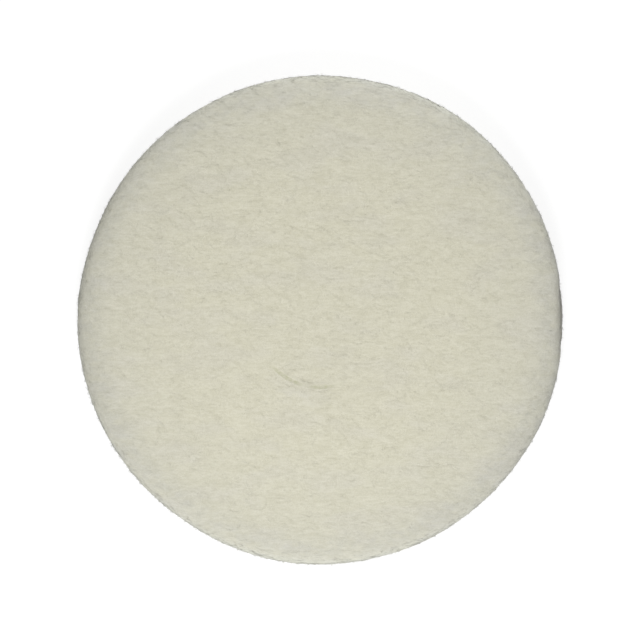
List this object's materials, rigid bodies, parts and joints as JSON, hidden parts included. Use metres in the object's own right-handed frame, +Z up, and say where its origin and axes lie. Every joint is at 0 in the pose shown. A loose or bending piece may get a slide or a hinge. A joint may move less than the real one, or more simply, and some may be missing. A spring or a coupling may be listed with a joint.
{
  "type": "floor polishing pad",
  "caption": "Round flat floor polishing pad of lofty non-woven fibre, with soft shoulders and a partial knife mark of its centre plug.",
  "frame": {"origin": "on the floor, at the middle of the lower face", "axes": "+Z up through the thickness, from the floor face to the driver face; +X and +Y lie in the face, and the knife mark of the centre plug is on the -Y side"},
  "size_m": [0.304, 0.306, 0.025],
  "materials": {
    "pad_fibre": "matte off-white non-woven fibre with short streaks"
  },
  "bodies": {
    "root": {"polishing_pad": "pad_fibre"}
  },
  "joints": []
}
